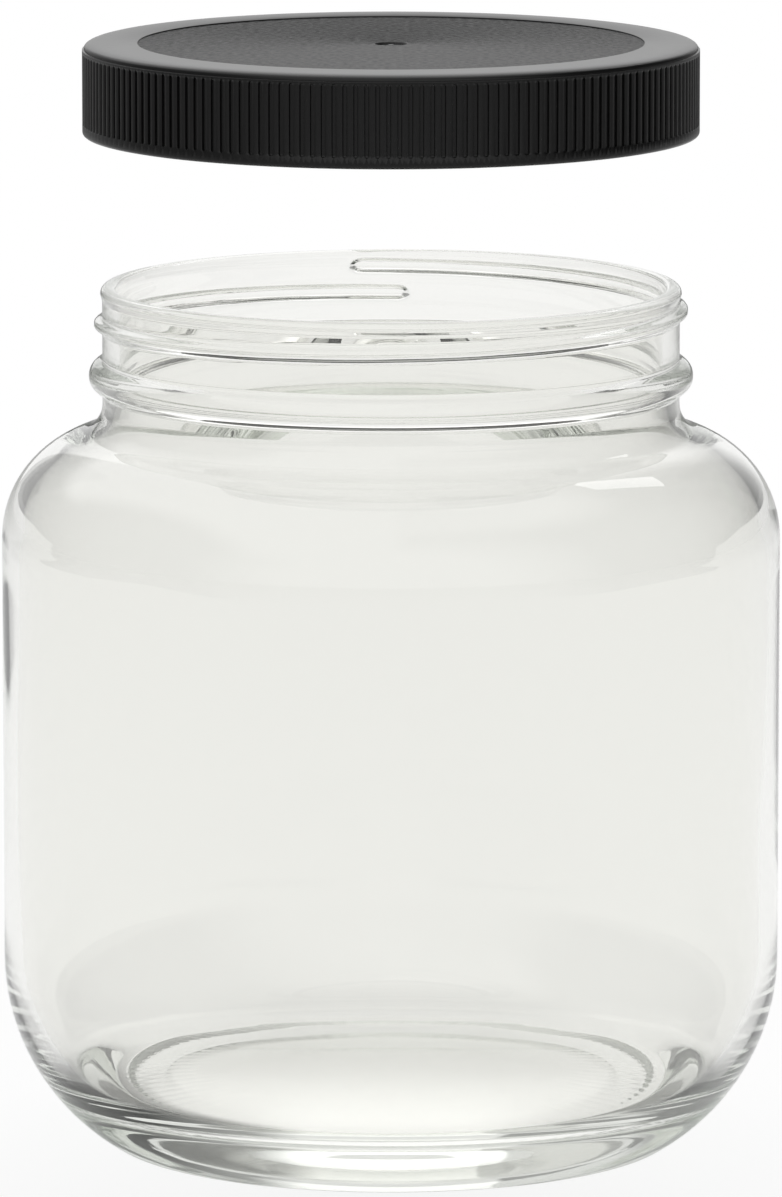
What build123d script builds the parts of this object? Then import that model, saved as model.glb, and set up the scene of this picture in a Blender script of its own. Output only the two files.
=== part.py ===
from build123d import *
import os
from math import sqrt

# Wide-mouth glass jar with a one-turn screw finish and a ribbed plastic screw cap, lifted clear of
# the mouth. Millimetres, +Z up, the origin at the centre of the base on the surface it stands on.
# The front is -Y.

# Body of the jar
jar_height = 159.7  # base to the sealing land on the lip
body_radius = 72.0
wall = 3.2
heel_radius = 40.0
shoulder_radius = 20.0
shoulder_fillet = 6.0  # hollow curve between shoulder and neck
neck_foot = 2.05  # straight neck between that curve and the transfer bead

# Base of the jar
standing_radius = 51.7  # outside of the flat ring that the jar stands on
standing_edge = 2.0  # rounding between that ring and the heel
standing_width = 2.0
push_up_bevel = 1.4  # sloping step from the ring into the hollow under the base
push_up_step = 0.9
push_up_rise = 2.7  # crown of the hollow above its own edge
floor_height = 11.0  # inside floor at its edge
floor_rise = 3.0  # crown of the inside floor above its edge
floor_corner = 9.0  # inside rounding between floor and heel
heel_tightening = 1.5  # inside rounding of the heel, tighter than the wall alone would leave it
heel_lift = 1.0  # and its centre higher than the outside one's, so the glass thickens downwards

# Neck finish: one turn of rounded thread, transfer bead and lip
neck_radius = 53.3
neck_wall = 2.7  # at the lip
lip_rounding_share = 0.48  # of the neck's wall
lip_bevel_share = 0.33  # of the neck's wall, inside the mouth
thread_pitch = 5.08
thread_height = 1.5  # how far the thread stands out of the neck
thread_width = 3.0
thread_flank_shares = ((0, 1), (0.62, 0.8), (1, 0.3))  # of its height and half width, foot to crest
thread_turns = 1.02
thread_top_drop = 3.1  # lip to the middle of the thread's upper end
thread_end_angle = 96.0  # where the upper end lies, seen from above, from +X
bead_height = 2.5
bead_width = 6.2

# Screw cap
cap_height = 16.9
cap_panel = 1.6
cap_wall = 1.0  # behind the bottom of a groove
thread_clearance = 0.5  # crest of the glass thread to the cap's wall
cap_thread_height = 1.3
cap_thread_width = 2.3
cap_flank_shares = ((0, 1), (1, 0.4))
cap_thread_drop = 2.1  # glass thread down to the cap's thread when screwed home
cap_thread_rise = 2.4  # bottom edge of the skirt to the middle of the thread's lower end
cap_thread_end_gap = 4.1  # middle of the thread's upper end to the snap bead above it
skirt_gap = 2.8  # bottom edge of the screwed-down cap to the middle of the transfer bead
rib_count = 180
rib_depth = 0.5
groove_width = 1.0
plain_band = 2.0  # smooth band under the ribs
edge_chamfer_share = 0.4  # of the skirt's thickness, outside its bottom edge
lead_in_share = 0.33  # of the skirt's thickness, inside its bottom edge
shoulder_drop = 0.9  # flat top down to the edge of the cap's rounded shoulder
shoulder_run = 2.3  # width of that shoulder
ledge_step = 0.3  # edge of the shoulder down to the ledge over the ribs
ledge_width = 0.35
ledge_thickness = 0.4
top_ring_width = 7.55  # smooth flat ring between the shoulder and the textured disc
top_disc_recess = 0.3
gate_well_radius = 3.1
gate_well_depth = 0.45

# Sealing liner
liner_thickness = 1.1
liner_side_clearance = 0.5
liner_top_clearance = 0.2
liner_seat_clearance = 0.2  # liner to lip when screwed home
snap_bead_height = 1.0  # bead that keeps the liner in the cap
snap_bead_width = 1.0
snap_bead_clearance = 0.15

# The cap is shown lifted: unscrewed and raised by this many turns' worth of travel
lift_turns = 8.25

# How deep a thread or bead is rooted in the wall that carries it
root_depth = 0.4

mouth_radius = neck_radius - neck_wall
thread_crest_radius = neck_radius + thread_height
cap_inner_radius = thread_crest_radius + thread_clearance
groove_radius = cap_inner_radius + cap_wall
cap_radius = groove_radius + rib_depth
liner_radius = cap_inner_radius - liner_side_clearance
liner_bottom = jar_height + liner_seat_clearance
cap_top = liner_bottom + liner_thickness + liner_top_clearance + cap_panel
cap_bottom = cap_top - cap_height
snap_bead_top = liner_bottom - snap_bead_clearance
snap_bead_bottom = snap_bead_top - snap_bead_width
bead_middle = cap_bottom - skirt_gap
rest_lift = lift_turns * thread_pitch

# Where the two threads start, with the cap screwed home
thread_start = jar_height - thread_top_drop - thread_turns * thread_pitch
thread_start_angle = thread_end_angle - 360 * thread_turns
cap_thread_start = cap_bottom + cap_thread_rise
cap_thread_turns = (snap_bead_bottom - cap_thread_end_gap - cap_thread_start) / thread_pitch
turns_between_starts = (cap_thread_start + cap_thread_drop - thread_start) / thread_pitch
cap_thread_start_angle = thread_start_angle + 360 * turns_between_starts


def dome(edge_radius, edge_height, rise):
    """Arc of a shallow dome in the profile plane, from its edge to the axis, level at the axis."""
    sphere = (edge_radius**2 + rise**2) / (2 * rise)
    middle = edge_radius / 2
    middle_height = edge_height + rise - sphere + sqrt(sphere**2 - middle**2)
    return ThreePointArc((edge_radius, edge_height), (middle, middle_height), (0, edge_height + rise))


def round_corner(profile, corner, radius):
    """Rounds the corner of a flat profile that lies nearest to a point."""
    nearest = profile.vertices().sort_by_distance(Vertex(corner[0], corner[1], 0))[0]
    return fillet(nearest, radius)


def shoulder_line(offset, heel_height):
    """Side, shoulder and neck curve at a depth inside the glass, from the heel to the neck."""
    # The shoulder's round and the hollow curve above it touch each other on one slanting line
    hollow = Vector(neck_radius + shoulder_fillet, bead_middle - bead_width / 2 - neck_foot)
    shoulder_x = body_radius - shoulder_radius
    reach = shoulder_radius + shoulder_fillet
    centre = Vector(shoulder_x, hollow.Y - sqrt(reach**2 - (hollow.X - shoulder_x) ** 2))
    lean = (hollow - centre).normalized()
    meet = centre + lean * (shoulder_radius - offset)
    on_shoulder = centre + (lean + Vector(1, 0)).normalized() * (shoulder_radius - offset)
    in_hollow = hollow + (Vector(-1, 0) - lean).normalized() * (shoulder_fillet + offset)
    side = body_radius - offset
    return [
        Line((side, heel_height), (side, centre.Y)),
        ThreePointArc((side, centre.Y), on_shoulder, meet),
        ThreePointArc(meet, in_hollow, (neck_radius - offset, hollow.Y)),
    ]


def heel_arc(centre, radius, low):
    """Heel arc about the heel's centre, from its lowest point up to the straight side."""
    halfway = ((low - centre).normalized() + Vector(1, 0)).normalized()
    return ThreePointArc(low, centre + halfway * radius, centre + Vector(radius, 0))


def jar_profile():
    """Half section of the glass, without the thread."""
    # The heel's centre lies where the standing edge's rounding touches both the heel and the base
    centre_x = body_radius - heel_radius
    drop = sqrt((heel_radius - standing_edge) ** 2 - (standing_radius - centre_x) ** 2)
    centre = Vector(centre_x, standing_edge + drop)
    edge = Vector(standing_radius, standing_edge)
    down = (edge - centre).normalized()
    edge_middle = edge + (down + Vector(0, -1)).normalized() * standing_edge
    heel_low = centre + down * heel_radius
    inner_heel = heel_radius - wall - heel_tightening
    inner_centre = Vector(body_radius - wall - inner_heel, centre.Y + heel_lift)
    floor_edge = inner_centre.X + sqrt(inner_heel**2 - (inner_centre.Y - floor_height) ** 2)
    ring_inside = standing_radius - standing_width
    push_up_radius = ring_inside - push_up_bevel
    outer = shoulder_line(0, centre.Y)
    inner = shoulder_line(wall, inner_centre.Y)
    bead_low, bead_high = bead_middle - bead_width / 2, bead_middle + bead_width / 2
    bevel = neck_wall * lip_bevel_share
    outline = [
        dome(push_up_radius, push_up_step, push_up_rise),
        Line((push_up_radius, push_up_step), (ring_inside, 0)),
        Line((ring_inside, 0), (standing_radius, 0)),
        ThreePointArc((standing_radius, 0), edge_middle, heel_low),
        heel_arc(centre, heel_radius, heel_low),
        *outer,
        Line(outer[-1] @ 1, (neck_radius, bead_low)),
        ThreePointArc(
            (neck_radius, bead_low), (neck_radius + bead_height, bead_middle), (neck_radius, bead_high)
        ),
        Line((neck_radius, bead_high), (neck_radius, jar_height)),
        Line((neck_radius, jar_height), (mouth_radius + bevel, jar_height)),
        Line((mouth_radius + bevel, jar_height), (mouth_radius, jar_height - bevel)),
        Line((mouth_radius, jar_height - bevel), inner[-1] @ 1),
        *inner,
        heel_arc(inner_centre, inner_heel, Vector(floor_edge, floor_height)),
        dome(floor_edge, floor_height, floor_rise),
        Line((0, floor_height + floor_rise), (0, push_up_step + push_up_rise)),
    ]
    profile = make_face(outline)
    profile = round_corner(profile, (neck_radius, jar_height), neck_wall * lip_rounding_share)
    return round_corner(profile, (floor_edge, floor_height), floor_corner)


def thread_section(height, width, flank_shares, half=0):
    """Section of a thread across its run: x stands out of the wall and y lies along the axis.
    The flank is given as shares of the height and of half the width, from the foot to the crest.
    Half is 0 for the whole section, or -1 or 1 for the side with that sign of y."""
    root = -root_depth * height / abs(height)
    flank = [(height * out, width / 2 * along) for out, along in flank_shares]
    foot = (root, flank[0][1])
    sides = {side: [(x, side * y) for x, y in (foot, *flank)] for side in (-1, 1)}
    middle = [(height, 0), (root, 0)]
    if half:
        return make_face(Polyline(*sides[half], *middle, close=True))
    return make_face(Polyline(*sides[-1], *reversed(sides[1]), close=True))


def thread(radius, height, width, flank_shares, turns):
    """Right-hand thread from +X at height 0, with a rounded nose on each end.
    A positive height stands out of a neck and a negative one stands into a cap."""
    path = Helix(pitch=thread_pitch, height=thread_pitch * turns, radius=radius)
    places = []
    for end in (0, 1):
        outwards = Vector((path @ end).X, (path @ end).Y, 0).normalized()
        places.append(Plane(origin=path @ end, x_dir=outwards, z_dir=path % end))
    bead = sweep(places[0] * thread_section(height, width, flank_shares), path=path, is_frenet=True)
    for place, half in zip(places, (-1, 1)):
        nose = place * thread_section(height, width, flank_shares, half)
        bead += revolve(nose, axis=Axis(place.origin, place.x_dir), revolution_arc=180)
    return bead


def make_jar():
    """Glass jar with its thread."""
    glass = revolve(Plane.XZ * jar_profile(), axis=Axis.Z)
    bead = thread(neck_radius, thread_height, thread_width, thread_flank_shares, thread_turns)
    return glass + Pos(0, 0, thread_start) * Rot(0, 0, thread_start_angle) * bead


def cap_outside():
    """Half section of the cap's outside, filled to the axis: skirt, ledge, shoulder, disc and gate."""
    disc_top = cap_top - top_disc_recess
    well_floor = disc_top - gate_well_depth
    shoulder_foot = cap_top - shoulder_drop
    ledge_top = shoulder_foot - ledge_step
    edge_radius = cap_radius - ledge_width
    flat_radius = edge_radius - shoulder_run
    disc_radius = flat_radius - top_ring_width
    chamfer = (cap_wall + rib_depth) * edge_chamfer_share
    arc_radius = (shoulder_run**2 + shoulder_drop**2) / (2 * shoulder_drop)
    half_run = shoulder_run / 2
    half_drop = arc_radius - sqrt(arc_radius**2 - half_run**2)
    shoulder_middle = (flat_radius + half_run, cap_top - half_drop)
    top = Polyline(
        (0, well_floor),
        (gate_well_radius, well_floor),
        (gate_well_radius, disc_top),
        (disc_radius, disc_top),
        (disc_radius, cap_top),
        (flat_radius, cap_top),
    )
    shoulder = ThreePointArc((flat_radius, cap_top), shoulder_middle, (edge_radius, shoulder_foot))
    side = Polyline(
        (edge_radius, shoulder_foot),
        (edge_radius, ledge_top),
        (cap_radius, ledge_top),
        (cap_radius, cap_bottom + chamfer),
        (cap_radius - chamfer, cap_bottom),
        (0, cap_bottom),
        (0, well_floor),
    )
    return make_face([*top.edges(), shoulder, *side.edges()])


def cap_inside():
    """Half section of the space inside the cap, from under its panel out past its bottom edge."""
    lead_in = (cap_wall + rib_depth) * lead_in_share
    mouth = cap_inner_radius + lead_in
    corners = [
        (0, cap_top - cap_panel),
        (cap_inner_radius, cap_top - cap_panel),
        (cap_inner_radius, cap_bottom + lead_in),
        (mouth, cap_bottom),
        (mouth, cap_bottom - lead_in),
        (0, cap_bottom - lead_in),
    ]
    return make_face(Polyline(*corners, close=True))


def grip_grooves():
    """V grooves that leave grip ribs between them, round the outside of the skirt."""
    low = cap_bottom + plain_band
    high = cap_top - shoulder_drop - ledge_step - ledge_thickness
    half = groove_width / 2
    outside = cap_radius + rib_depth
    corners = [(0, groove_radius), (half, cap_radius), (half, outside), (-half, outside), (-half, cap_radius)]
    section = make_face(Polyline(*corners, close=True))
    groove = Pos(0, 0, low) * extrude(section, amount=high - low)
    return [place * groove for place in PolarLocations(0, rib_count)]


def snap_bead():
    """Bead inside the cap, just under the liner."""
    crest = (cap_inner_radius - snap_bead_height, snap_bead_top - snap_bead_width / 2)
    root = cap_inner_radius + root_depth
    corners = [
        (root, snap_bead_bottom),
        (cap_inner_radius, snap_bead_bottom),
        crest,
        (cap_inner_radius, snap_bead_top),
        (root, snap_bead_top),
    ]
    return revolve(Plane.XZ * make_face(Polyline(*corners, close=True)), axis=Axis.Z)


def make_cap():
    """Cap with its ribs, snap bead and inside thread, screwed home on the jar."""
    shell = revolve(Plane.XZ * cap_outside(), axis=Axis.Z) - revolve(Plane.XZ * cap_inside(), axis=Axis.Z)
    shell -= grip_grooves()
    screw = thread(cap_inner_radius, -cap_thread_height, cap_thread_width, cap_flank_shares, cap_thread_turns)
    return shell + snap_bead() + Pos(0, 0, cap_thread_start) * Rot(0, 0, cap_thread_start_angle) * screw


def make_liner():
    """Flat sealing disc, just above the lip."""
    return Pos(0, 0, liner_bottom) * extrude(Circle(liner_radius), amount=liner_thickness)


def main():
    os.makedirs("parts", exist_ok=True)
    # The cap turns as it rises, so at rest it has also turned by the odd part of a turn
    raised = Pos(0, 0, rest_lift)
    pieces = {
        "glass_jar": make_jar(),
        "screw_cap": raised * Rot(0, 0, 360 * lift_turns) * make_cap(),
        "cap_liner": raised * make_liner(),
    }
    for name, piece in pieces.items():
        export_step(piece, f"parts/{name}.step")
        print(name, len(piece.solids()), round(piece.volume), piece.bounding_box().size)


main()
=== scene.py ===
import bpy
import numpy as np
from math import atan2, cos, degrees, hypot, pi, radians, sin, sqrt
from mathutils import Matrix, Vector


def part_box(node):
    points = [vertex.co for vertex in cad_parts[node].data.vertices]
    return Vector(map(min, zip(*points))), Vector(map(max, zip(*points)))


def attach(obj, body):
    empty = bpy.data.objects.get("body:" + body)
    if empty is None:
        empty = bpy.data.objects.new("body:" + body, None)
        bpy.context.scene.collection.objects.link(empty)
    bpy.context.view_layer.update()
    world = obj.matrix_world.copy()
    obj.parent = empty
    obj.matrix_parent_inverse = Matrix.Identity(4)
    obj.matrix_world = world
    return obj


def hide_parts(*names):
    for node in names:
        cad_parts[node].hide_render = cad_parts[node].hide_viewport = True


# Clear glass jar with its ribbed black screw cap held above the mouth.
# Metres throughout, with mm to write a size as it is measured.
mm = 0.001
weld = 0.002 * mm  # points nearer than this become one
close = 0.01 * mm  # and this near, a point counts as lying on a surface
tiny = mm * mm  # keeps a division by the radius safe on the axis

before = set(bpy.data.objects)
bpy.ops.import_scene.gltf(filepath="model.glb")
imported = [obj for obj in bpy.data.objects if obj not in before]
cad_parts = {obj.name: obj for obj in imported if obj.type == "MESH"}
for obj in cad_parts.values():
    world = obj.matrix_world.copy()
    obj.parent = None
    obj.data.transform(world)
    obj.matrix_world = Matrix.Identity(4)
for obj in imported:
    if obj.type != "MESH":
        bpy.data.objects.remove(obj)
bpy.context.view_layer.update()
jarLow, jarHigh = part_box("glass_jar")
capLow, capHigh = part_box("screw_cap")
linerLow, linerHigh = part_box("cap_liner")
tops = [round(high.z / mm, 1) for high in (jarHigh, capHigh, linerHigh)]
print("frame loaded, tops of jar, cap and liner in mm:", *tops)


def startPoint(name, place):  # a single vertex in edit mode, ready to be drawn out into a section
    bpy.ops.object.select_all(action="DESELECT")
    bpy.ops.mesh.primitive_plane_add(size=mm, location=(0, 0, 0))
    piece = bpy.context.active_object
    piece.name = name
    bpy.ops.object.mode_set(mode="EDIT")
    bpy.ops.mesh.select_all(action="SELECT")
    bpy.ops.mesh.merge(type="CENTER")
    bpy.ops.transform.translate(value=place)
    return piece


def drawSection(points):  # extrudes the selected vertex from point to point in the XZ plane
    last = points[0]
    for radius, height in points[1:]:
        move = (radius - last[0], 0, height - last[1])
        bpy.ops.mesh.extrude_region_move(TRANSFORM_OT_translate={"value": move})
        last = (radius, height)


def spinOpen(name, points, steps):  # turns an open section about the upright axis into a skin
    piece = startPoint(name, (points[0][0], 0, points[0][1]))
    drawSection(points)
    bpy.ops.mesh.select_all(action="SELECT")
    bpy.ops.mesh.spin(steps=steps, angle=2 * pi, center=(0, 0, 0), axis=(0, 0, 1))
    bpy.ops.mesh.select_all(action="SELECT")
    bpy.ops.mesh.remove_doubles(threshold=weld)
    bpy.ops.object.mode_set(mode="OBJECT")
    return piece


def spinSection(name, points, steps):  # the same for a section that closes on the axis at both ends
    piece = spinOpen(name, points, steps)
    bpy.ops.object.mode_set(mode="EDIT")
    bpy.ops.mesh.select_all(action="SELECT")
    bpy.ops.mesh.normals_make_consistent(inside=False)
    bpy.ops.object.mode_set(mode="OBJECT")
    bpy.ops.object.shade_smooth()
    return piece


def arc(centre, radius, start, end, count):  # points of an arc, angles in degrees from straight out
    angles = [radians(start + (end - start) * i / count) for i in range(count + 1)]
    return [(centre[0] + radius * cos(a), centre[1] + radius * sin(a)) for a in angles]


def run(start, end, count):  # evenly spaced points between two places, without the first
    return [
        (start[0] + (end[0] - start[0]) * i / count, start[1] + (end[1] - start[1]) * i / count)
        for i in range(1, count + 1)
    ]


def slope(start, end):  # angle in degrees from one place to another
    return degrees(atan2(end[1] - start[1], end[0] - start[0]))


def readPoints(piece):
    flat = np.zeros(len(piece.data.vertices) * 3, np.float32)
    piece.data.vertices.foreach_get("co", flat)
    return flat.reshape(-1, 3).astype(float)


def writePoints(piece, points):
    piece.data.vertices.foreach_set("co", points.astype(np.float32).ravel())
    piece.data.update()


# The jar
jar = {
    "height": jarHigh.z,
    "bodyRadius": jarHigh.x,
    "wall": 3.2 * mm,
    "heelRadius": 40 * mm,
    "shoulderRadius": 20 * mm,
    "hollowRadius": 6 * mm,
    "neckRadius": 53.3 * mm,
    "neckWall": 2.7 * mm,
    "neckFoot": 2.05 * mm,
    "lipBulge": 0.35 * mm,
    "lipHeight": 2.6 * mm,
    "lipRounding": 1.35 * mm,
    "mouthRounding": 1.2 * mm,
    "standingRadius": 51.7 * mm,
    "standingWidth": 2.0 * mm,
    "standingEdge": 2 * mm,
    "pushUpBevel": 1.4 * mm,
    "pushUpStep": 0.9 * mm,
    "pushUpRise": 2.7 * mm,
    "floorHeight": 11 * mm,
    "floorRise": 3 * mm,
    "floorCorner": 9 * mm,
    "heelTightening": 1.5 * mm,  # the glass thickens down the heel: its inside is rounder
    "heelLift": 1 * mm,  # and centred higher
    "beadDrop": 16.6 * mm,
    "beadHeight": 2.5 * mm,
    "beadHalfWidth": 2.9 * mm,
    "beadFoot": 3.1 * mm,  # middle of the bead down to the straight neck under it
    "beadReach": 1.25,  # of its half width, up and down to where the plain wall goes on
    "beadFullness": (2.2, 0.62),  # powers that round its section
    "softRounds": 10,
    "steps": 450,
}
rows = {  # how finely each stretch of the jar's section is cut
    "dome": 6,
    "bevel": 3,
    "ring": 2,
    "edge": 5,
    "heel": 30,
    "side": 2,
    "shoulder": 16,
    "hollow": 8,
    "bead": 17,
    "neck": 36,
    "lipSlope": 3,
    "lip": 7,
    "mouth": 6,
    "bore": 7,
    "insideSide": 8,
    "insideHeel": 26,
    "corner": 8,
}
thread = {
    "pitch": 5.08 * mm,
    "height": 1.5 * mm,
    "crestHalfWidth": 0.3 * mm,
    "footHalfWidth": 1.75 * mm,
    "turns": 1.02,
    "topDrop": 3.1 * mm,
    "endAngle": 96,
    "noseShare": 0.55,  # how sharply the ends close: below 1 draws the noses out
    "skin": 0.2 * mm,  # how far under the neck's surface its points still count as the surface
    "aboveBead": 3 * mm,  # the thread's part of the neck, from the middle of the bead up
}
print("sizes set")


def dome(edgeRadius, edgeHeight, rise, count, outwards):  # shallow crown between the axis and an edge
    sphere = (edgeRadius**2 + rise**2) / (2 * rise)
    radii = [edgeRadius * i / count for i in range(count + 1)]
    points = [(r, edgeHeight + rise - sphere + sqrt(sphere**2 - r**2)) for r in radii]
    return points if outwards else points[::-1]


def shoulderPoints(depth, heelHeight, count, upwards):  # side, shoulder and hollow, deep in the glass
    beadMiddle = jar["height"] - jar["beadDrop"]
    hollow = (jar["neckRadius"] + jar["hollowRadius"], beadMiddle - jar["beadFoot"] - jar["neckFoot"])
    centreX = jar["bodyRadius"] - jar["shoulderRadius"]
    reach = jar["shoulderRadius"] + jar["hollowRadius"]
    centre = (centreX, hollow[1] - sqrt(reach**2 - (hollow[0] - centreX) ** 2))
    lean = slope(centre, hollow)
    side = jar["bodyRadius"] - depth
    points = run((side, heelHeight), (side, centre[1]), count)
    points += arc(centre, jar["shoulderRadius"] - depth, 0, lean, rows["shoulder"])[1:]
    points += arc(hollow, jar["hollowRadius"] + depth, lean + 180, 180, rows["hollow"])[1:]
    points = [(side, heelHeight)] + points
    return points if upwards else points[::-1]


def jarSection():
    centreX = jar["bodyRadius"] - jar["heelRadius"]
    edgeRadius = jar["heelRadius"] - jar["standingEdge"]
    edge = (jar["standingRadius"], jar["standingEdge"])
    centre = (centreX, edge[1] + sqrt(edgeRadius**2 - (edge[0] - centreX) ** 2))
    down = slope(centre, edge)
    ringInside = jar["standingRadius"] - jar["standingWidth"]
    pushUp = ringInside - jar["pushUpBevel"]
    points = dome(pushUp, jar["pushUpStep"], jar["pushUpRise"], rows["dome"], True)
    points += run(points[-1], (ringInside, 0), rows["bevel"])
    points += run(points[-1], (jar["standingRadius"], 0), rows["ring"])
    points += arc(edge, jar["standingEdge"], -90, down, rows["edge"])[1:]
    points += arc(centre, jar["heelRadius"], down, 0, rows["heel"])[1:]
    points += shoulderPoints(0, centre[1], rows["side"], True)[1:]

    # neck: foot, transfer bead with soft roots, threaded wall, lip
    beadMiddle = jar["height"] - jar["beadDrop"]
    half = jar["beadHalfWidth"]
    reach = jar["beadReach"]
    flat, full = jar["beadFullness"]
    for i in range(rows["bead"] + 1):
        along = -reach + 2 * reach * i / rows["bead"]
        bulge = (1 - abs(along) ** flat) ** full if abs(along) < 1 else 0
        points.append((jar["neckRadius"] + jar["beadHeight"] * bulge, beadMiddle + half * along))
    wallTop = jar["height"] - jar["lipHeight"]
    points += run(points[-1], (jar["neckRadius"], wallTop), rows["neck"])
    lipRadius = jar["neckRadius"] + jar["lipBulge"]
    rounding = jar["lipRounding"]
    lipEdge = jar["height"] - rounding
    points += run(points[-1], (lipRadius, lipEdge), rows["lipSlope"])
    points += arc((lipRadius - rounding, lipEdge), rounding, 0, 90, rows["lip"])[1:]
    mouth = jar["neckRadius"] - jar["neckWall"]
    inside = jar["mouthRounding"]
    points += arc((mouth + inside, jar["height"] - inside), inside, 90, 180, rows["mouth"])

    # inside: bore, hollow, shoulder, side, heel, corner and floor, soft as the blown glass is
    wall = jar["wall"]
    innerHeel = jar["heelRadius"] - wall - jar["heelTightening"]
    within = (jar["bodyRadius"] - wall - innerHeel, centre[1] + jar["heelLift"])
    side = shoulderPoints(wall, within[1], rows["insideSide"], False)
    inner = run(points[-1], side[0], rows["bore"]) + side[1:]
    corner = jar["floorCorner"]
    cornerZ = jar["floorHeight"] + corner
    cornerX = within[0] + sqrt((innerHeel - corner) ** 2 - (within[1] - cornerZ) ** 2)
    low = slope(within, (cornerX, cornerZ))
    inner += arc(within, innerHeel, 0, low, rows["insideHeel"])[1:]
    inner += arc((cornerX, cornerZ), corner, low, -90, rows["corner"])[1:]
    floor = dome(cornerX, jar["floorHeight"], jar["floorRise"], rows["dome"], False)[1:]
    return points + soften(inner + floor[:3], jar["softRounds"]) + floor[3:]


def soften(points, rounds):  # eases the corners of a section, with its ends kept
    for _ in range(rounds):
        middle = [
            ((a[0] + b[0] * 2 + c[0]) / 4, (a[1] + b[1] * 2 + c[1]) / 4)
            for a, b, c in zip(points, points[1:], points[2:])
        ]
        points = points[:1] + middle + points[-1:]
    return points


def threadProfile(away, beyond, shape):  # 1 on the crest of a thread, softly down to 0 at its foot
    spread = shape["footHalfWidth"] - shape["crestHalfWidth"]
    share = np.clip((np.hypot(away, beyond) - shape["crestHalfWidth"]) / spread, 0, 1)
    return 1 - share * share * (3 - 2 * share)


def threadHeights(points):  # how far the thread stands out at each point of the neck
    start = jar["height"] - thread["topDrop"] - thread["turns"] * thread["pitch"]
    startAngle = thread["endAngle"] - 360 * thread["turns"]
    length = 360 * thread["turns"]
    angle = np.degrees(np.arctan2(points[:, 1], points[:, 0]))
    height = np.zeros(len(points))
    for turn in (-1, 0, 1):
        along = (angle - startAngle) % 360 + 360 * turn
        inside = np.clip(along, 0, length)
        beyond = np.radians(along - inside) * jar["neckRadius"] * thread["noseShare"]
        away = points[:, 2] - (start + thread["pitch"] * inside / 360)
        height = np.maximum(height, thread["height"] * threadProfile(away, beyond, thread))
    return height


ripple = {  # unevenness of the blown inside wall
    "depth": 0.12 * mm,
    "lower": 48 * mm,
    "upper": 125 * mm,
    "fade": 12 * mm,
    "waves": ((1, 3, 5, 0), (0.7, 7, -9, 1.3), (0.5, 13, 4, 0.4)),  # size, rate round, rate up, start
}
knurl = {"count": 90, "depth": 0.25 * mm, "inner": 47.8 * mm, "outer": 50.2 * mm, "top": 1.3 * mm}


def makeJar():
    piece = spinSection("clearJar", jarSection(), jar["steps"])
    points = readPoints(piece)
    radius = np.hypot(points[:, 0], points[:, 1])
    angle = np.arctan2(points[:, 1], points[:, 0])
    outward = points[:, :2] / np.maximum(radius, tiny)[:, None]

    # thread on the outside of the neck
    lowest = jar["height"] - jar["beadDrop"] + thread["aboveBead"]
    neck = (radius > jar["neckRadius"] - thread["skin"]) & (points[:, 2] > lowest)
    points[:, :2] += outward * (threadHeights(points) * neck)[:, None]

    # slow ripple of the inside wall
    inside = radius < jar["bodyRadius"] - jar["wall"] / 2
    level = np.clip((points[:, 2] - ripple["lower"]) / ripple["fade"], 0, 1)
    level *= np.clip((ripple["upper"] - points[:, 2]) / ripple["fade"], 0, 1)
    height = points[:, 2] / jar["height"]
    wave = sum(size * np.sin(a * angle + b * height + start) for size, a, b, start in ripple["waves"])
    points[:, :2] += outward * (ripple["depth"] * wave * level * inside)[:, None]

    # knurl round the inside edge of the standing ring
    ring = (radius > knurl["inner"]) & (radius < knurl["outer"]) & (points[:, 2] < knurl["top"])
    scallop = np.abs(np.sin(knurl["count"] / 2 * angle)) - 0.5
    points[:, :2] += outward * (knurl["depth"] * scallop * ring)[:, None]
    writePoints(piece, points)
    return piece


clearJar = makeJar()
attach(clearJar, "jar")
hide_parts("glass_jar")
print("jar made,", len(clearJar.data.polygons), "faces")


# The cap
cap = {
    "top": capHigh.z,
    "bottom": capLow.z,
    "radius": capHigh.x,
    "wall": 1.0 * mm,
    "panel": 1.6 * mm,
    "ribs": 180,
    "ribDepth": 0.5 * mm,
    "grooveShare": 0.42,  # of the pitch of the ribs
    "grooveFill": 1.15,  # how early a groove reaches its full depth at its round ends
    "plainBand": 2.0 * mm,
    "edgeRound": 0.6 * mm,
    "leadIn": 0.5 * mm,
    "shoulderDrop": 0.9 * mm,
    "shoulderRun": 2.3 * mm,
    "ledgeStep": 0.3 * mm,
    "ledgeWidth": 0.35 * mm,
    "ledgeThickness": 0.45 * mm,
    "ringWidth": 7.55 * mm,
    "discRecess": 0.3 * mm,
    "wellRadius": 3.1 * mm,
    "wellDepth": 0.45 * mm,
    "nubRadius": 0.8 * mm,
    "nubHeight": 0.3 * mm,
    "discBevel": 0.06 * mm,
    "crestRound": 0.14 * mm,  # how far a rib's edges fall off from its crest
    "shoulderRows": 7,
    "edgeRows": 4,
    "leadInRows": 2,
    "threadRows": 62,
    "panelRows": 8,
}
capThread = {
    "pitch": thread["pitch"],
    "height": 1.3 * mm,
    "crestHalfWidth": 0.25 * mm,
    "footHalfWidth": 1.15 * mm,
    "rise": 2.4 * mm,
    "turns": 1.25,
    "startAngle": 106.6,  # lower end, with the cap lifted
    "noseShare": 0.55,
}
snapBead = {"middle": 3.55 * mm, "height": 1.0 * mm, "halfWidth": 0.5 * mm}
sliceShares = (0.0, 0.055, 0.345, 0.40, 0.47, 0.60, 0.78, 0.91, 1.0)  # columns, groove first, then rib


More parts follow.
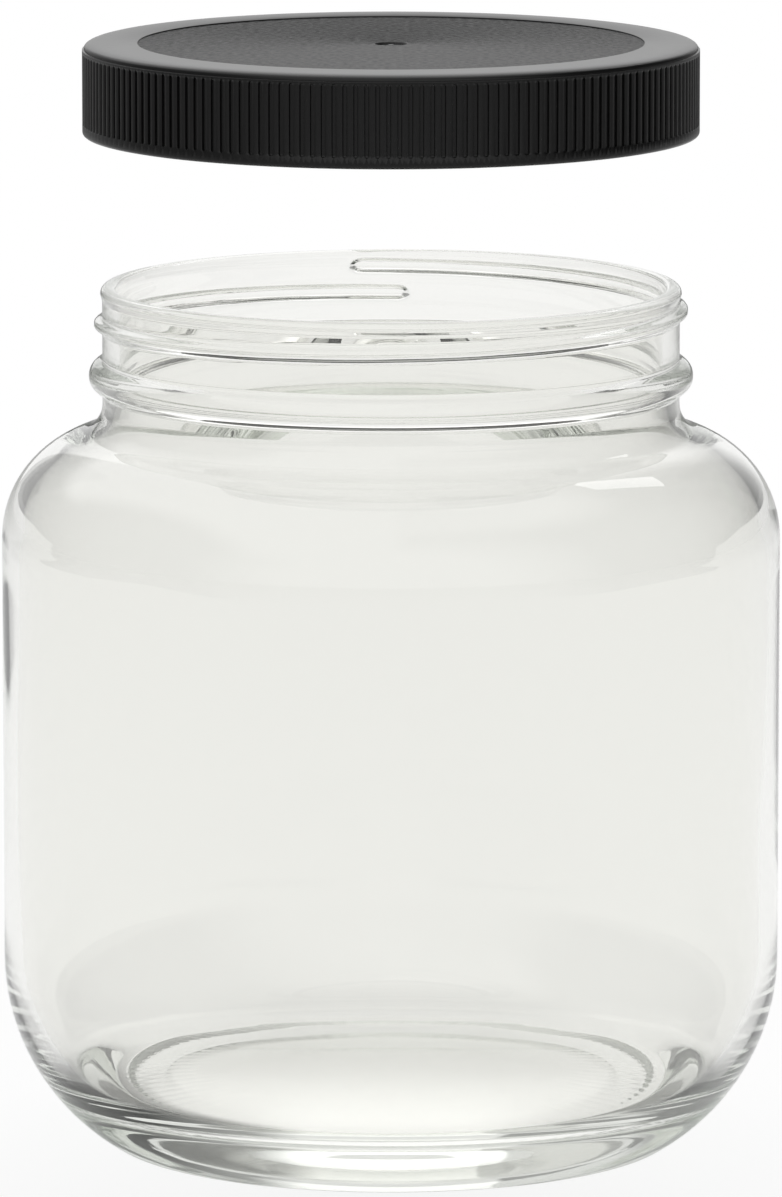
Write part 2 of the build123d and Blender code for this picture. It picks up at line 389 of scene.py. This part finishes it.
def capOutside():  # section from the gate nub over the top to the ledge, with a tiny bevel at each edge
    top, radius = cap["top"], cap["radius"]
    disc = top - cap["discRecess"]
    well = disc - cap["wellDepth"]
    edge = radius - cap["ledgeWidth"]
    flat = edge - cap["shoulderRun"]
    discRadius = flat - cap["ringWidth"]
    nub = cap["nubRadius"]
    points = [(0, well + cap["nubHeight"]), (nub * 0.7, well + cap["nubHeight"] * 0.8), (nub, well)]
    bevel = cap["discBevel"]
    points += [(cap["wellRadius"] - 0.25 * mm, well), (cap["wellRadius"], disc - bevel)]
    points += [(cap["wellRadius"] + 0.08 * mm, disc), (discRadius - 0.1 * mm, disc)]
    points += [(discRadius, disc + bevel), (discRadius + 0.02 * mm, top - bevel)]
    points += [(discRadius + 0.1 * mm, top), (flat, top)]
    drop, width = cap["shoulderDrop"], cap["shoulderRun"]
    for i in range(1, cap["shoulderRows"] + 1):
        turn = radians(90 * i / cap["shoulderRows"])
        points.append((flat + width * sin(turn), top - drop * (1 - cos(turn))))
    step = top - drop - cap["ledgeStep"]
    points += [(edge, step + 0.04 * mm), (edge + 0.06 * mm, step), (radius - 0.08 * mm, step)]
    points += [(radius, step - 0.08 * mm), (radius, step - cap["ledgeThickness"])]
    return points


def ribRows():  # heights down the skirt, closest where the grooves begin and end
    half = cap["grooveShare"] * pi * cap["radius"] / cap["ribs"]
    high = cap["top"] - cap["shoulderDrop"] - cap["ledgeStep"] - cap["ledgeThickness"]
    low = cap["bottom"] + cap["plainBand"]
    shares = (0.1, 0.35, 0.65, 1.0)
    heights = [high - half * s for s in shares] + [low + half * s for s in shares[::-1]]
    return heights + [low], high, low, half


def capSkirtFoot():  # rounded bottom edge and flat underside of the skirt
    radius, bottom, rounding = cap["radius"], cap["bottom"], cap["edgeRound"]
    edge = arc((radius - rounding, bottom + rounding), rounding, 0, -90, cap["edgeRows"])
    return edge + [(capMouth(), bottom)]


def capBore():
    return cap["radius"] - cap["ribDepth"] - cap["wall"]


def capMouth():
    return capBore() + cap["leadIn"]


def makeCapOutside():  # one groove and one rib, drawn as a slice, then repeated round the cap
    heights, high, low, half = ribRows()
    skirt = [(cap["radius"], z) for z in heights]
    points = capOutside() + skirt + capSkirtFoot()
    columns = len(sliceShares) - 1
    piece = startPoint("ribbedCap", (points[0][0], 0, points[0][1]))
    drawSection(points)
    bpy.ops.mesh.select_all(action="SELECT")
    bpy.ops.mesh.spin(steps=columns, angle=2 * pi / cap["ribs"], center=(0, 0, 0), axis=(0, 0, 1))
    bpy.ops.object.mode_set(mode="OBJECT")
    shapeSlice(piece, high, low, half)
    bpy.ops.object.mode_set(mode="EDIT")
    bpy.ops.mesh.select_all(action="SELECT")
    copies = cap["ribs"] - 1
    turn = 2 * pi * copies / cap["ribs"]
    bpy.ops.mesh.spin(steps=copies, dupli=True, angle=turn, center=(0, 0, 0), axis=(0, 0, 1))
    bpy.ops.mesh.select_all(action="SELECT")
    bpy.ops.mesh.remove_doubles(threshold=weld)
    bpy.ops.object.mode_set(mode="OBJECT")
    return piece


def shapeSlice(piece, high, low, half):
    points = readPoints(piece)
    radius = np.hypot(points[:, 0], points[:, 1])
    pitch = 2 * pi / cap["ribs"]
    turn = np.arctan2(points[:, 1], points[:, 0])
    column = np.rint(np.abs(turn) / pitch * (len(sliceShares) - 1)).astype(int)
    turned = np.sign(turn.sum())
    share = np.array(sliceShares)[column]
    height = points[:, 2]
    skirt = (radius > cap["radius"] - close) & (height <= high) & (height >= low)

    # the groove narrows to a round end above and below
    reach = np.clip(np.minimum(high - height, height - low) / half, 0, 1)
    narrow = np.where(skirt, np.sqrt(1 - (1 - reach) ** 2), 1)
    groove = cap["grooveShare"]
    middle = groove / 2
    inGroove = share < groove
    moved = np.where(inGroove, middle + (share - middle) * narrow, share)
    onRib = ~inGroove & (share < 1)
    edge = middle + middle * narrow
    farEdge = 1 + middle - middle * narrow
    moved = np.where(onRib, edge + (share - groove) / (1 - groove) * (farEdge - edge), moved)
    moved = np.where(share >= 1, farEdge, moved)
    moved = np.where(skirt, moved, share)
    mouthRow = (radius < capMouth() + close) & (height < cap["bottom"] + close)
    moved = np.where(mouthRow, np.rint(share * 2) / 2, moved)  # two columns a rib, as inside

    # the groove's first and last columns stand at its edges, and its floor lies between them
    firstEdge = share == sliceShares[0]
    onCrest = share >= sliceShares[3]
    floor = ~firstEdge & ~onCrest
    depth = np.where(floor, cap["ribDepth"] * np.minimum(1, narrow * cap["grooveFill"]), 0)
    across = (share - (1 + groove) / 2) / ((1 - groove) / 2)
    fall = cap["crestRound"] * np.abs(np.clip(across, -1, 1)) ** 3
    crest = np.where(onCrest, fall, 0)
    crest = np.where(firstEdge, cap["crestRound"], crest)
    depth = np.where(skirt, depth + np.where(floor, 0, crest * narrow), 0)
    angle = moved * pitch * turned
    points[:, 0] = (radius - depth) * np.cos(angle)
    points[:, 1] = (radius - depth) * np.sin(angle)
    writePoints(piece, points)


def capInside():  # section of the inside, from the bottom edge up the thread's wall and in to the axis
    inner = capBore()
    under = cap["top"] - cap["panel"]
    bottom, leadIn = cap["bottom"], cap["leadIn"]
    points = [(capMouth(), bottom)]
    bevel = 0.3 * mm
    points += run(points[-1], (inner, bottom + leadIn), cap["leadInRows"])
    points += run(points[-1], (inner, under - bevel), cap["threadRows"])
    points += [(inner - bevel, under)]
    points += run(points[-1], (0, under), cap["panelRows"])
    return points


def shapeCapThread(piece):
    points = readPoints(piece)
    radius = np.hypot(points[:, 0], points[:, 1])
    inner = capBore()
    threaded = points[:, 2] > cap["bottom"] + cap["leadIn"] + close
    wall = (np.abs(radius - inner) < close) & threaded
    angle = np.degrees(np.arctan2(points[:, 1], points[:, 0]))
    length = 360 * capThread["turns"]
    height = np.zeros(len(points))
    for turn in (-1, 0, 1, 2):
        along = (angle - capThread["startAngle"]) % 360 + 360 * turn
        inside = np.clip(along, 0, length)
        beyond = np.radians(along - inside) * inner * capThread["noseShare"]
        level = cap["bottom"] + capThread["rise"] + capThread["pitch"] * inside / 360
        profile = threadProfile(points[:, 2] - level, beyond, capThread)
        height = np.maximum(height, capThread["height"] * profile)
    bead = np.abs(points[:, 2] - (cap["top"] - snapBead["middle"])) / snapBead["halfWidth"]
    height = np.maximum(height, snapBead["height"] * np.sqrt(np.clip(1 - bead**2, 0, 1)))
    points[:, :2] *= np.where(wall, (radius - height) / np.maximum(radius, tiny), 1)[:, None]
    writePoints(piece, points)


def makeCap():
    outside = makeCapOutside()
    inside = spinOpen("capInside", capInside(), 2 * cap["ribs"])
    shapeCapThread(inside)
    bpy.ops.object.select_all(action="DESELECT")
    inside.select_set(True)
    outside.select_set(True)
    bpy.context.view_layer.objects.active = outside
    bpy.ops.object.join()
    bpy.ops.object.mode_set(mode="EDIT")
    bpy.ops.mesh.select_all(action="SELECT")
    bpy.ops.mesh.remove_doubles(threshold=2 * weld)
    bpy.ops.mesh.normals_make_consistent(inside=False)
    bpy.ops.object.mode_set(mode="OBJECT")
    bpy.ops.object.shade_smooth_by_angle(angle=radians(38))
    return outside


ribbedCap = makeCap()
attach(ribbedCap, "cap")
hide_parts("screw_cap")
print("cap made,", len(ribbedCap.data.polygons), "faces")


def newMaterial(name):
    material = bpy.data.materials.new(name)
    material.use_nodes = True
    return material


def wear(piece, material):
    piece.data.materials.clear()
    piece.data.materials.append(material)


glass = {
    "colour": (0.924, 0.924, 0.902, 1),
    "tint": (0.87, 0.895, 0.86, 1),
    "density": 5,  # how strongly the tint takes hold for each metre of glass
    "ior": 1.5,
    "passing": (0.97, 0.98, 0.97, 1),  # what a lamp's light keeps on its way to the floor
}
satin = {  # plain plastic of the cap
    "colour": (0.005, 0.005, 0.005, 1),
    "roughness": 0.28,
    "specular": 0.4,
    "grainScale": 2600,
    "grainHeight": 0.5,
    "waveScale": 300,
    "waveHeight": 1.0,
    "relief": 0.25,
}
pebbled = {  # the disc on its top
    "roughness": 0.55,
    "specular": 0.22,
    "grainScale": 1100,
    "grainHeight": 4.0,
    "waveScale": 400,
    "waveHeight": 0.4,
    "relief": 1.0,
    # painted glints: the speckle lightens the disc's colour where the pebbles would catch the light
    "speckleScale": 900,
    "speckleDetail": 1,
    "speckleSpan": (0.35, 0.65),
    "paintedGlintColour": (0.01, 0.06),
}
foam = {  # the liner
    "colour": (0.72, 0.72, 0.70, 1),
    "roughness": 0.8,
    "specular": 0.5,
    "grainScale": 3000,
    "grainHeight": 1.0,
    "waveScale": 200,
    "waveHeight": 1.0,
    "relief": 0.4,
}


def joinValues(tree, operation, first, *others):  # takes the values together, one after another
    for other in others:
        node = tree.nodes.new("ShaderNodeMath")
        node.operation = operation
        for socket, source in zip(node.inputs, (first, other)):
            if isinstance(source, (int, float)):
                socket.default_value = source
            else:
                tree.links.new(source, socket)
        first = node.outputs[0]
    return first


def fadeBetween(tree, source, span, levels):  # goes from one level to the other over the span
    fade = tree.nodes.new("ShaderNodeMapRange")
    fade.inputs["From Min"].default_value = span[0]
    fade.inputs["From Max"].default_value = span[1]
    fade.inputs["To Min"].default_value = levels[0]
    fade.inputs["To Max"].default_value = levels[1]
    tree.links.new(source, fade.inputs["Value"])
    return fade.outputs[0]


def chooseValue(tree, kind, usual, special):  # the usual value, or a special one for one kind of ray
    node = tree.nodes.new("ShaderNodeMix")
    node.inputs["B"].default_value = special
    tree.links.new(kind, node.inputs["Factor"])
    tree.links.new(usual, node.inputs["A"])
    return node.outputs["Result"]


def mixShaders(tree, share, first, second):
    mix = tree.nodes.new("ShaderNodeMixShader")
    tree.links.new(share, mix.inputs[0])
    tree.links.new(first.outputs[0], mix.inputs[1])
    tree.links.new(second.outputs[0], mix.inputs[2])
    tree.links.new(mix.outputs[0], tree.nodes["Material Output"].inputs["Surface"])


def glassMaterial():
    material = newMaterial("clearGlass")
    tree = material.node_tree
    shader = tree.nodes["Principled BSDF"]
    shader.inputs["Base Color"].default_value = glass["colour"]
    shader.inputs["Metallic"].default_value = 0
    shader.inputs["Transmission Weight"].default_value = 1
    shader.inputs["Roughness"].default_value = 0
    shader.inputs["IOR"].default_value = glass["ior"]
    volume = tree.nodes.new("ShaderNodeVolumeAbsorption")
    volume.inputs["Color"].default_value = glass["tint"]
    volume.inputs["Density"].default_value = glass["density"]
    tree.links.new(volume.outputs[0], tree.nodes["Material Output"].inputs["Volume"])

    # lamps shine on through the glass to the floor
    path = tree.nodes.new("ShaderNodeLightPath")
    lit = joinValues(tree, "MAXIMUM", path.outputs["Is Shadow Ray"], path.outputs["Is Diffuse Ray"])
    clear = tree.nodes.new("ShaderNodeBsdfTransparent")
    clear.inputs["Color"].default_value = glass["passing"]
    mixShaders(tree, lit, shader, clear)
    return material


def reliefGroup():  # fine raised grain over a plastic or foam surface: a height to bump by
    group = bpy.data.node_groups.new("fineRelief", "ShaderNodeTree")
    sockets = group.interface
    sockets.new_socket(name="Vector", in_out="INPUT", socket_type="NodeSocketVector")
    for name in ("Grain Scale", "Grain Height", "Wave Scale", "Wave Height"):
        sockets.new_socket(name=name, in_out="INPUT", socket_type="NodeSocketFloat")
    sockets.new_socket(name="Height", in_out="OUTPUT", socket_type="NodeSocketFloat")
    given = group.nodes.new("NodeGroupInput")
    result = group.nodes.new("NodeGroupOutput")
    heights = []
    for part in ("Grain", "Wave"):
        noise = group.nodes.new("ShaderNodeTexNoise")
        noise.inputs["Detail"].default_value = 2
        group.links.new(given.outputs["Vector"], noise.inputs["Vector"])
        group.links.new(given.outputs[part + " Scale"], noise.inputs["Scale"])
        height = joinValues(group, "MULTIPLY", noise.outputs["Fac"], given.outputs[part + " Height"])
        heights.append(height)
    group.links.new(joinValues(group, "ADD", *heights), result.inputs["Height"])
    return group


fineRelief = reliefGroup()


def surfaceMaterial(name, look):  # a plastic or foam surface, with its relief
    material = newMaterial(name)
    tree = material.node_tree
    shader = tree.nodes["Principled BSDF"]
    shader.inputs["Roughness"].default_value = look["roughness"]
    shader.inputs["Specular IOR Level"].default_value = look["specular"]
    place = tree.nodes.new("ShaderNodeTexCoord")
    relief = tree.nodes.new("ShaderNodeGroup")
    relief.node_tree = fineRelief
    relief.inputs["Grain Scale"].default_value = look["grainScale"]
    relief.inputs["Grain Height"].default_value = look["grainHeight"]
    relief.inputs["Wave Scale"].default_value = look["waveScale"]
    relief.inputs["Wave Height"].default_value = look["waveHeight"]
    bump = tree.nodes.new("ShaderNodeBump")
    bump.inputs["Strength"].default_value = look["relief"]
    bump.inputs["Distance"].default_value = 0.1 * mm
    tree.links.new(place.outputs["Object"], relief.inputs["Vector"])
    tree.links.new(relief.outputs["Height"], bump.inputs["Height"])
    tree.links.new(bump.outputs["Normal"], shader.inputs["Normal"])
    return material


def plainMaterial(name, look):
    material = surfaceMaterial(name, look)
    shader = material.node_tree.nodes["Principled BSDF"]
    shader.inputs["Base Color"].default_value = look["colour"]
    return material


def pebbleMaterial():  # painted glints: a speckle in the colour stands in for the light the pebbles catch unevenly
    material = surfaceMaterial("pebbledBlack", pebbled)
    tree = material.node_tree
    place = tree.nodes.new("ShaderNodeTexCoord")
    paintedGlints = tree.nodes.new("ShaderNodeTexNoise")
    paintedGlints.inputs["Scale"].default_value = pebbled["speckleScale"]
    paintedGlints.inputs["Detail"].default_value = pebbled["speckleDetail"]
    tree.links.new(place.outputs["Object"], paintedGlints.inputs["Vector"])
    colour = fadeBetween(tree, paintedGlints.outputs["Fac"], pebbled["speckleSpan"], pebbled["paintedGlintColour"])
    tree.links.new(colour, tree.nodes["Principled BSDF"].inputs["Base Color"])
    return material


def pebbleTheDisc():
    discRadius = cap["radius"] - cap["ledgeWidth"] - cap["shoulderRun"] - cap["ringWidth"]
    level = cap["top"] - cap["discRecess"]
    for face in ribbedCap.data.polygons:
        x, y, z = face.center
        if z > level - close and cap["wellRadius"] < hypot(x, y) < discRadius:
            face.material_index = 1


wear(clearJar, glassMaterial())
wear(ribbedCap, plainMaterial("satinBlack", satin))
ribbedCap.data.materials.append(pebbleMaterial())
pebbleTheDisc()
wear(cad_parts["cap_liner"], plainMaterial("whiteFoam", foam))
print("materials set")

# The stage
stage = {
    "radius": 12,
    "corners": 96,
    "gap": 0.05 * mm,  # air between the floor and the ring that the jar stands on
    "floorColour": (0.97, 0.97, 0.97, 1),
    "shadowShare": 0.12,  # how much of the lamps' light and shadow the camera sees on the floor
    "shadowFade": (0.2, 0.5),  # how far out that share is gone
    "paintedLightFront": 1.15,  # painted light: how bright the floor under the front of the jar is painted, seen only through the glass
    "behind": 0.85,  # painted shade: the floor under its back, painted darker
    "paintedShade": 0.87,  # painted shadow: how dark the floor is painted beside the heel, seen only through the glass
    "ambient": 0.16,  # the world's light on diffuse surfaces
    "backdropLow": 0.95,
    "backdropHigh": 1.45,
    "leftWall": 0.9,  # high up, left of the backdrop
    "sides": 0.4,  # beside the backdrop
    "darkLeft": 0.2,
    "darkRight": 0.05,
    "front": 0.9,
    "ceiling": 0.75,
}
paintedFloorSpans = {  # where the floor is painted darker or lighter, seen only through the glass, measured from the jar's axis
    "start": (46 * mm, 55 * mm),  # where the painted shade begins, at the left and at the right
    "startAcross": (-20 * mm, 20 * mm),  # and between which places it changes over
    "rise": (0, 6 * mm),
    "end": (68 * mm, 84 * mm),
    "aside": (16 * mm, 34 * mm),  # there is no painted shade straight before the jar
    "back": (-5 * mm, 25 * mm),  # nor behind it
    "underEnd": (80 * mm, 130 * mm),
    "underAside": (20 * mm, 42 * mm),
    "underShare": (1, 0.2),
    "underBack": (-30 * mm, 10 * mm),
}
room = {  # spans on a ball round the object: -1 to 1 is left to right, front to back, down to up
    "backdropLeft": (-0.27, -0.24),
    "backdropRight": (0.2, 0.4),
    "backdropBack": (-0.1, 0.2),
    "backdropRise": (0.25, 0.4),
    "leftSide": (-0.95, -0.4),
    "rightSide": (0.35, 0.62),
    "front": (-0.85, -0.3),
    "wallRise": (0.3, 0.45),
    "wallLeft": (-0.8, -0.6),
    "wallRight": (0, 0.25),
    "ceiling": (0.72, 0.88),
}


def paintedFloorShadeAndLight(tree, place, away, through):  # painted shadow beside the heel, and a painted pool of light under the jar, both seen only through the glass
    parts = tree.nodes.new("ShaderNodeSeparateXYZ")
    tree.links.new(place, parts.inputs[0])
    across, back = parts.outputs["X"], parts.outputs["Y"]
    sideways = tree.nodes.new("ShaderNodeMath")
    sideways.operation = "ABSOLUTE"
    tree.links.new(across, sideways.inputs[0])
    aside = sideways.outputs[0]
    start = fadeBetween(tree, across, paintedFloorSpans["startAcross"], paintedFloorSpans["start"])
    near = fadeBetween(tree, joinValues(tree, "SUBTRACT", away, start), paintedFloorSpans["rise"], (0, 1))
    far = fadeBetween(tree, away, paintedFloorSpans["end"], (1, 0))
    beside = fadeBetween(tree, aside, paintedFloorSpans["aside"], (0, 1))
    before = fadeBetween(tree, back, paintedFloorSpans["back"], (1, 0))
    # painted shadow: the floor's glow is dimmed beside the heel for rays that come through the glass
    paintedShadeMask = joinValues(tree, "MULTIPLY", near, far, beside, before, through)
    paintedShade = fadeBetween(tree, paintedShadeMask, (0, 1), (1, 1 - stage["paintedShade"]))

    # painted light under the jar, brighter towards the front and painted darker at the back
    under = fadeBetween(tree, away, paintedFloorSpans["underEnd"], (1, 0))
    middle = fadeBetween(tree, aside, paintedFloorSpans["underAside"], paintedFloorSpans["underShare"])
    under = joinValues(tree, "MULTIPLY", under, middle, through)
    level = fadeBetween(tree, back, paintedFloorSpans["underBack"], (stage["paintedLightFront"], stage["behind"]))
    paintedLightGain = joinValues(tree, "MULTIPLY", joinValues(tree, "SUBTRACT", level, 1), under)
    return joinValues(tree, "MULTIPLY", paintedShade, joinValues(tree, "ADD", paintedLightGain, 1))


def makeFloor():
    bpy.ops.object.select_all(action="DESELECT")
    under = (0, 0, -stage["gap"])
    bpy.ops.mesh.primitive_circle_add(
        vertices=stage["corners"], radius=stage["radius"], fill_type="NGON", location=under
    )
    bpy.ops.object.transform_apply(location=True)
    floor = bpy.context.active_object
    floor.name = "floor"
    material = newMaterial("paleFloor")
    tree = material.node_tree
    shader = tree.nodes["Principled BSDF"]
    shader.inputs["Base Color"].default_value = stage["floorColour"]
    shader.inputs["Roughness"].default_value = 1
    shader.inputs["Specular IOR Level"].default_value = 0
    path = tree.nodes.new("ShaderNodeLightPath")
    through = path.outputs["Is Transmission Ray"]
    seen = joinValues(tree, "MAXIMUM", path.outputs["Is Camera Ray"], through)
    place = tree.nodes.new("ShaderNodeTexCoord").outputs["Object"]
    length = tree.nodes.new("ShaderNodeVectorMath")
    length.operation = "LENGTH"
    tree.links.new(place, length.inputs[0])
    away = length.outputs["Value"]
    share = fadeBetween(tree, away, stage["shadowFade"], (1 - stage["shadowShare"], 1))
    share = joinValues(tree, "MAXIMUM", share, through)
    share = joinValues(tree, "MULTIPLY", share, seen)
    glow = tree.nodes.new("ShaderNodeEmission")
    # the glow's strength carries the painted shadow and the painted light
    tree.links.new(paintedFloorShadeAndLight(tree, place, away, through), glow.inputs["Strength"])
    mixShaders(tree, share, shader, glow)
    wear(floor, material)


makeFloor()


def makeWorld():  # a lit backdrop between dimmer sides, with a light ceiling
    world = bpy.data.worlds.new("studio")
    bpy.context.scene.world = world
    world.use_nodes = True
    tree = world.node_tree
    place = tree.nodes.new("ShaderNodeTexCoord")
    parts = tree.nodes.new("ShaderNodeSeparateXYZ")
    tree.links.new(place.outputs["Generated"], parts.inputs[0])
    across, back, up = parts.outputs["X"], parts.outputs["Y"], parts.outputs["Z"]

    # the backdrop
    left = fadeBetween(tree, across, room["backdropLeft"], (0, 1))
    right = fadeBetween(tree, across, room["backdropRight"], (1, 0))
    behind = fadeBetween(tree, back, room["backdropBack"], (0, 1))
    level = fadeBetween(tree, up, room["backdropRise"], (stage["backdropLow"], stage["backdropHigh"]))
    backdrop = joinValues(tree, "MULTIPLY", left, right, behind, level)

    # the sides, darker outwards, and the front
    leftSide = fadeBetween(tree, across, room["leftSide"], (stage["darkLeft"], stage["sides"]))
    rightSide = fadeBetween(tree, across, room["rightSide"], (stage["sides"], stage["darkRight"]))
    sides = joinValues(tree, "MINIMUM", leftSide, rightSide)
    front = fadeBetween(tree, back, room["front"], (stage["front"], 0))

    # the wall high up at the left, and the ceiling
    wallRise = fadeBetween(tree, up, room["wallRise"], (0, stage["leftWall"]))
    wallLeft = fadeBetween(tree, across, room["wallLeft"], (0, 1))
    wallRight = fadeBetween(tree, across, room["wallRight"], (1, 0))
    leftWall = joinValues(tree, "MULTIPLY", wallRise, wallLeft, wallRight)
    ceiling = fadeBetween(tree, up, room["ceiling"], (0, stage["ceiling"]))
    bright = joinValues(tree, "MAXIMUM", backdrop, sides, front, leftWall, ceiling)

    # plain white for the camera, and an even light for diffuse surfaces
    path = tree.nodes.new("ShaderNodeLightPath")
    bright = chooseValue(tree, path.outputs["Is Camera Ray"], bright, 1)
    bright = chooseValue(tree, path.outputs["Is Diffuse Ray"], bright, stage["ambient"])
    tree.links.new(bright, tree.nodes["Background"].inputs["Strength"])
    tree.nodes["Background"].inputs["Color"].default_value = (1, 1, 1, 1)


makeWorld()

topLight = {"place": (0, 0.35, 1.15), "aim": (0, 0, 0.05), "width": 0.6, "height": 0.6, "watts": 10}
sideLight = {"place": (0.6, 0.74, 1.13), "aim": (0, 0, 0.1), "width": 0.25, "height": 0.35, "watts": 0.6}


def makeLamp(name, light):  # rays that have passed through the glass don't see it
    data = bpy.data.lights.new(name, "AREA")
    data.shape = "RECTANGLE"
    data.size = light["width"]
    data.size_y = light["height"]
    data.energy = light["watts"]
    lamp = bpy.data.objects.new(name, data)
    bpy.context.collection.objects.link(lamp)
    lamp.location = light["place"]
    look = Vector(light["aim"]) - Vector(light["place"])
    lamp.rotation_euler = look.to_track_quat("-Z", "Y").to_euler()
    lamp.visible_transmission = False
    return lamp


topLamp = makeLamp("topLamp", topLight)
topLamp.visible_glossy = False
makeLamp("sideLamp", sideLight)
print("stage set")

# The camera
lensView = {
    "distance": 1.9,
    "elevation": 9.18,
    "aim": 101.1 * mm,
    "lens": 308.2,
    "sensor": 36,
    "nearest": 0.05,
    "farthest": 60,
}


def makeCamera():
    tilt = radians(lensView["elevation"])
    data = bpy.data.cameras.new("camera")
    camera = bpy.data.objects.new("camera", data)
    bpy.context.collection.objects.link(camera)
    reach = lensView["distance"]
    camera.location = (0, -reach * cos(tilt), lensView["aim"] + reach * sin(tilt))
    camera.rotation_euler = (pi / 2 - tilt, 0, 0)
    data.lens = lensView["lens"]
    data.sensor_width = lensView["sensor"]
    data.clip_start = lensView["nearest"]
    data.clip_end = lensView["farthest"]
    bpy.context.scene.camera = camera


makeCamera()
bpy.context.scene.view_settings.view_transform = "Standard"

# light runs to and fro inside the thick base many times before it leaves
paths = bpy.context.scene.cycles
paths.max_bounces = 96
paths.glossy_bounces = 96
paths.transmission_bounces = 96
paths.transparent_max_bounces = 32
